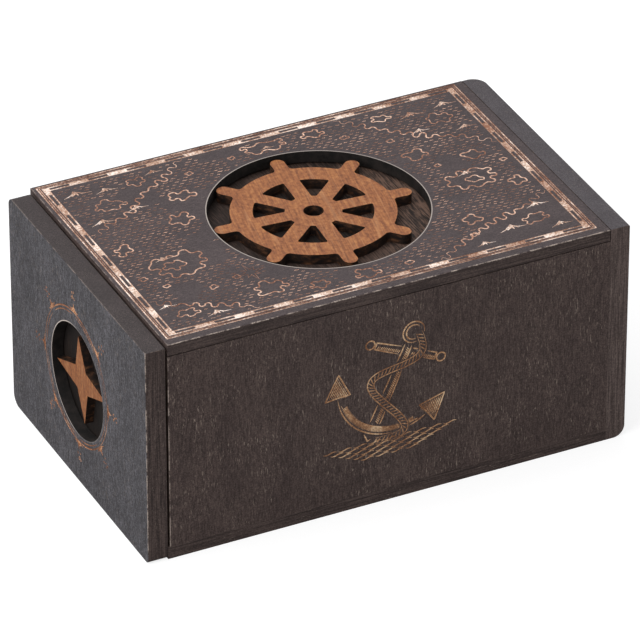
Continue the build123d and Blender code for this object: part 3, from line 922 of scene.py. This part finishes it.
rope_half, rope_clear = 0.85, 0.35
rope_steps, strand_pitch, strand_lean = 260, 0.95, 0.62
rope_middle = [rope_at(i / rope_steps) for i in range(rope_steps + 1)]
rope_edges = [[], []]
rope_turns = []
walked = 0.0
for before, point, after in zip(rope_middle, rope_middle[1:], rope_middle[2:]):
    way = heading(before, after)
    for side, edge in zip((-1, 1), rope_edges):
        edge.append(beside(point, way, side * rope_half))
    walked += dist(before, after) / 2
    if walked > strand_pitch:
        walked = 0.0
        rope_turns.append([beside(point, way, share * rope_half, strand_lean * share)
                           for share in (-0.8, -0.3, 0.3, 0.8)])
rope_tree = point_tree(rope_middle)


def off_rope(point):
    return rope_tree.find((*point, 0))[2] > rope_half + rope_clear


# %% Anchor and swell
iron = [
    (circle(0, 15.3, 2.9, step=12), True),
    (circle(0, 15.3, 2.0, step=12), True),
    (path((-1.0, 11.7), (-1.45, -10.2)), False),
    (path((1.0, 11.7), (1.45, -10.2)), False),
    (circle(0, 2, 15.0, 211, 329, 2), False),
    (circle(0, 7.11, 18.11, 231, 309, 2), False),
    (path((-1.7, -13.55), (0, -15.2), (1.7, -13.55)), False),
]
shading = []
for i in range(42):
    y = 11.0 - 0.5 * i
    shading.append(line((-0.1, y), (0.95, y - 0.6), 0.3))
for i in range(64):
    a = radians(224 + 92 * i / 63)
    shading.append(line((14.5 * cos(a), 2 + 14.5 * sin(a)), (13.3 * cos(a), 2.5 + 13.3 * sin(a)), 0.3))
for side in (-1, 1):
    iron.append((path((1.6, 8.9), (8.8, 9.1), (8.8, 10.9), (1.6, 11.1), side=side), False))
    iron.append((circle(side * 10.4, 10, 1.2, step=20), True))
    iron.append((path((15.6, 0.9), (10.2, -3.6), (12.6, -4.7), (16.1, -6.8), (15.65, 0.5), side=side), True))
    for i in range(10):
        share = (i + 0.7) / 10
        top = (side * (10.6 + 4.7 * share), -3.6 + 3.7 * share)
        shading.append(line(top, (top[0] + side * 0.25, top[1] - 1.0 - 5.0 * share), 0.4))
    for i in range(13):
        x = side * (1.9 + 0.52 * i)
        shading.append(line((x, 9.2), (x + 0.3, 10.1), 0.3))
swell = []
for row in range(6):
    level = -17.0 - 0.95 * row
    for i in range(-5, 6):
        x = 4.7 * i + (row % 2) * 2.3
        if abs(x) < 22 - 2.4 * row:
            steps = (-2.1, -1.5, -0.9, -0.3, 0.3, 0.9, 1.5, 2.1)
            swell.append(([(x + u, level + 0.3 * sin(u * 1.35) + anchor_z) for u in steps], 0.38, False))


# %% Cut the front
def tilted(points):
    turn = radians(anchor_tilt)
    drawn = []
    for x, y in points:
        x, y = x * anchor_size, y * anchor_size
        drawn.append((x * cos(turn) - y * sin(turn), x * sin(turn) + y * cos(turn) + anchor_z))
    return drawn


def clipped(strokes, width):
    """Strokes without the stretches under the rope; one that is not touched stays closed."""
    kept = []
    for points, closed in strokes:
        whole = closed and all(off_rope(point) for point in points)
        around = points + points[:1] if closed and not whole else points
        runs = [list(run) for clear, run in groupby(around, off_rope) if clear]
        kept += [(tilted(run), width, whole) for run in runs if len(run) > 1]
    return kept


drawings = {
    "anchor_iron": clipped(iron, 0.46),
    "anchor_rope": [(tilted(edge), 0.36, False) for edge in rope_edges],
    "anchor_hatching": clipped([(stroke, False) for stroke in shading], 0.34),
    "rope_turns": [(tilted(stroke), 0.32, False) for stroke in rope_turns],
    "swell": swell,
}
wall_worn = [((X, -1, Y, -1), 0.7)]
front_finish, _ = stained_board("front_wall", Y, Z, espresso, brown_edge, inner=1, worn=wall_worn,
                                flecks=0.9, seed=21)
engraved_front = board_copy("front_wall", [front_finish.material, golden_groove], (X, Z))
for name, strokes in drawings.items():
    engrave(engraved_front, name, strokes, 1, (0, wall_low.y, 0), (pi / 2, 0, 0))
check_and_smooth(engraved_front, "front_wall")
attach(engraved_front, "shell")
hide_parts("front_wall")

# %% [markdown]
# ## The drawer's front
# A ring with eight turned handles is engraved round the star's opening, so that the opening reads as the
# middle of a ship's helm.

# %% Helm ring
panel_low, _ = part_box("drawer_panel")
star_centre = Vector((panel_low.x, 0.3 * MM, 33.7 * MM))
star_opening = 17.5
ring_centre = Vector((panel_low.x, 1.0 * MM, 34.8 * MM))
ring_inner, ring_outer = 19.9, 21.0
grips, grip_turn = 8, 2


def spoke(angle, points):
    """Points given as (along the spoke, across it), turned by an angle in degrees."""
    turn = radians(angle)
    return [(r * cos(turn) - w * sin(turn), r * sin(turn) + w * cos(turn)) for r, w in points]


rng = Random(5)
rings, wedges, hooks = [], [], []
for handle in range(grips):
    start = 360 / grips * handle + grip_turn
    strong = 20 < start < 120 or 200 < start < 300
    rings.append((circle(0, 0, ring_inner, start + 3, start + 42, 3), 0.34 if strong else 0.2, False))
    rings.append((circle(0, 0, ring_outer, start - 1, start + 46, 3), 0.5 if strong else 0.26, False))
    for r, half, width in ((21.3, 2.9, 0.5), (21.75, 1.7, 0.6), (22.25, 0.8, 0.6)):
        wedge = [(r + 0.06 * w * w, w) for w in (-half, -half / 2, 0, half / 2, half)]
        wedges.append((spoke(start, wedge), width, False))
    wedges.append((spoke(start, [(21.4, 0), (22.4, 0), (23.8, 0.1)]), 0.7, False))
    for r, w in ((25.3, -0.9), (25.2, 0.8), (26.3, 0.0), (27.3, -0.6), (27.2, 0.8)):
        r, w, size = r + rng.uniform(-0.3, 0.3), w + rng.uniform(-0.2, 0.2), rng.uniform(0.35, 0.62)
        hook = [(r + 0.7 * size * cos(a), w + size * sin(a)) for a in (0.3, 1.4, 2.6, 3.8)]
        hooks.append((spoke(start, hook), 0.42, False))
panel_worn = [((X, -1, Y, -1), 0.8), ((X, -1, Z, 1), 0.2), ((X, -1, Y, 1), 0.3)]
panel_finish, panel_stain = stained_board("drawer_panel", X, Z, stain_with_painted_sheen, brown_edge, panel_top, inner=1,
                                          worn=panel_worn, flecks=0.45, seed=31)
# The pale ring round the star's opening is a painted highlight, made stronger toward +y, the lit side.
lit_side = panel_finish.minus(panel_finish.axes[Y], star_centre.y - 2 * MM)
rim_highlight_share = panel_finish.plus(0.15, panel_finish.times(panel_finish.step(lit_side, 0.0, 9 * MM), 0.75))
opening_char_shade_and_highlight(panel_finish, panel_stain, star_centre, X, star_opening * MM, rim_highlight_share)
engraved_panel = board_copy("drawer_panel", [panel_finish.material, rust_groove], (Y, Z))
for name, strokes in (("helm_ring", rings), ("helm_wedges", wedges), ("helm_grips", hooks)):
    engrave(engraved_panel, name, strokes, 1, ring_centre, (pi / 2, 0, -pi / 2))
check_and_smooth(engraved_panel, "drawer_panel")
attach(engraved_panel, "drawer")
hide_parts("drawer_panel")


# %% [markdown]
# ## Wheel and star
# Both are cut from an orange-brown veneered board. The face has a fine mottled grain with a few long pale
# lines, and the laser left the cut sides charred. One finish does both, by the way a surface faces. The
# disc behind each is stained dark; the one in the lid gets painted shade in its middle, between the
# spokes, and painted light toward one side.

# %% Figure wood
def figure_wood(name, face_axis, grain_axis, turn):
    finish = Finish(name, roughness=0.55, specular=0.3)
    grain = finish.grain(0.55, 7.0, grain_axis, 4, 0.6, turn=turn, seed=41)
    mixed = finish.mixture((grain, 0.55), (finish.noise(1.1, 3, seed=43), 0.45))
    veneer = finish.ramp(mixed, (0.36, 0.5, 0.65), card((110, 63, 36), (144, 88, 51), (176, 118, 70)))
    lines = finish.grain(3.2, 60, grain_axis, 1, 0.4, turn=turn, seed=47)
    fine = finish.step(finish.math("ABSOLUTE", finish.minus(lines, 0.5)), 0.02, 0.0)
    veneer = finish.over(veneer, paint(190, 140, 98), fine, 0.3)
    soot = finish.noise((2.6, 2.6, 1.2), 3, 0.6, seed=51)
    charred = finish.ramp(soot, (0.4, 0.55, 0.72), card((17, 11, 9), (42, 27, 19), (96, 64, 43)))
    finish.colour(finish.over(veneer, charred, finish.facing(face_axis, 0.8, 0.4)))
    finish.bump(grain, 0.05)
    return finish.material


# %% Dark disc
def dark_disc(name, grain_axis, tones, lit_axis=None, centre=0.0):
    """Stained disc; with a lit axis it gets painted shade in the middle and painted light toward that side.
    """
    finish = Finish(name, roughness=0.75, specular=0.2)
    grain = finish.grain(0.4, 5, grain_axis, 4, 0.65, seed=61)
    mixed = finish.mixture((grain, 0.6), (finish.noise(9, 3, 0.6, seed=62), 0.4))
    stain = finish.ramp(mixed, (0.36, 0.5, 0.64), tones)
    if lit_axis is not None:
        # Painted shade: the middle, seen between the wheel's spokes, is darkened.
        painted_shade_middle = finish.step(finish.radius((centre, 1.2 * MM, 0), Z), 21 * MM, 15 * MM)
        stain = finish.over(stain, paint(13, 10, 9), painted_shade_middle, 0.7)
        # Painted light: the disc is brightened toward the lit side.
        toward = finish.step(finish.minus(finish.axes[lit_axis], centre), -6 * MM, 30 * MM)
        stain = finish.over(stain, paint(112, 88, 75), toward, finish.step(mixed, 0.44, 0.58), 0.75)
    finish.colour(stain)
    finish.bump(grain, 0.08)
    return finish.material


# %% [markdown]
# ## Bare plywood inside
# Drawer boards and the parts of the lock are bare birch plywood cut by laser. Their edges are browned
# and show the layers, and smoke has tinted the faces along the outline. Dowels are beech with a fine
# grain, and the screws are zinc-plated steel.


# %% Bare plywood
def bare_board(node, thickness_axis, grain_axis, seed):
    low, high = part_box(node)
    finish = Finish("bare_" + node, roughness=0.65)
    wood = bare_wood(finish, grain_axis, seed)
    halo = finish.step(finish.edge_distance(low, high), 3.0 * MM, 0.0)
    smoke = finish.step(finish.noise(5, 3, seed=seed + 5), 0.35, 0.7)
    wood = finish.over(wood, paint(150, 108, 70), halo, smoke, 0.6)
    edge = layers(finish, thickness_axis, low, high, 3, browned)
    finish.colour(finish.over(wood, edge, finish.facing(thickness_axis, 0.8, 0.4)))
    finish.bump(finish.grain(0.5, 10, grain_axis, 3, seed=seed), 0.05)
    return finish.material


def dowel_wood(name):
    finish = Finish(name, roughness=0.6)
    grain = finish.grain(0.3, 5, X, 3, 0.6, seed=71)
    tones = card((170, 132, 92), (204, 168, 124), (226, 196, 154))
    finish.colour(finish.ramp(grain, (0.35, 0.5, 0.65), tones))
    finish.bump(grain, 0.04)
    return finish.material


def zinc_steel(name):
    finish = Finish(name, roughness=0.35, specular=0.5)
    fill_in(finish.shader, {"Metallic": 1.0})
    scuffs = finish.noise(0.3, 3, seed=81)
    finish.colour(finish.ramp(scuffs, (0.35, 0.6), card((150, 148, 144), (205, 203, 198))))
    return finish.material


# %% Give every node its finish
smoky = card((26, 20, 17), (48, 38, 34), (78, 62, 55))
sooty = card((18, 14, 12), (27, 22, 20), (42, 32, 27))
finishes = {
    "ship_wheel": figure_wood("wheel_veneer", Z, Y, 11),
    "compass_star": figure_wood("star_veneer", X, Z, 0),
    "wheel_disc": dark_disc("dark_wheel_disc", Y, smoky, X, -0.8 * MM),
    "star_disc": dark_disc("dark_star_disc", Z, sooty),
    "wheel_spindle": dark_disc("dark_spindle", Z, smoky),
    "cap_dowels": dowel_wood("cap_dowel_wood"),
    "star_spindle": dowel_wood("spindle_wood"),
    "latch_pegs": dowel_wood("peg_wood"),
    "cover_screws": zinc_steel("screw_zinc"),
}
plain = {"base": (Z, X, espresso, brown_edge, None, 1), "back_wall": (Y, Z, espresso, brown_edge, None, -1),
         "end_cap": (X, Z, espresso, cap_edge, graphite, -1)}
for number, (node, looks) in enumerate(plain.items(), 1):
    finishes[node] = stained_board(node, *looks, seed=number)[0].material
bare = {"lock_deck": (Z, X), "bolt_guide_left": (Z, Y), "bolt_guide_right": (Z, Y), "mechanism_cover": (Z, X),
        "latch_keeper": (X, Y), "front_backer": (X, Y), "drawer_bottom": (Z, X), "drawer_side_front": (Y, X),
        "drawer_side_back": (Y, X), "drawer_back": (X, Y), "drawer_stop": (X, Y), "pinion": (Z, X),
        "bolt_front": (Z, Y), "bolt_back": (Z, Y), "latch_washer": (X, Y), "latch_arm": (X, Y)}
for number, (node, axes) in enumerate(bare.items()):
    finishes[node] = bare_board(node, *axes, 100 + 7 * number)
for node, material in finishes.items():
    dress(nodes[node], [material])
print(len(finishes), "nodes finished")

# %% Sizes and finish
new_low, new_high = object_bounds()
growth = [round((a - b) / MM, 3) for a, b in zip(new_high - new_low, cad_high - cad_low)]
print("size", growth, "mm larger than the frame")
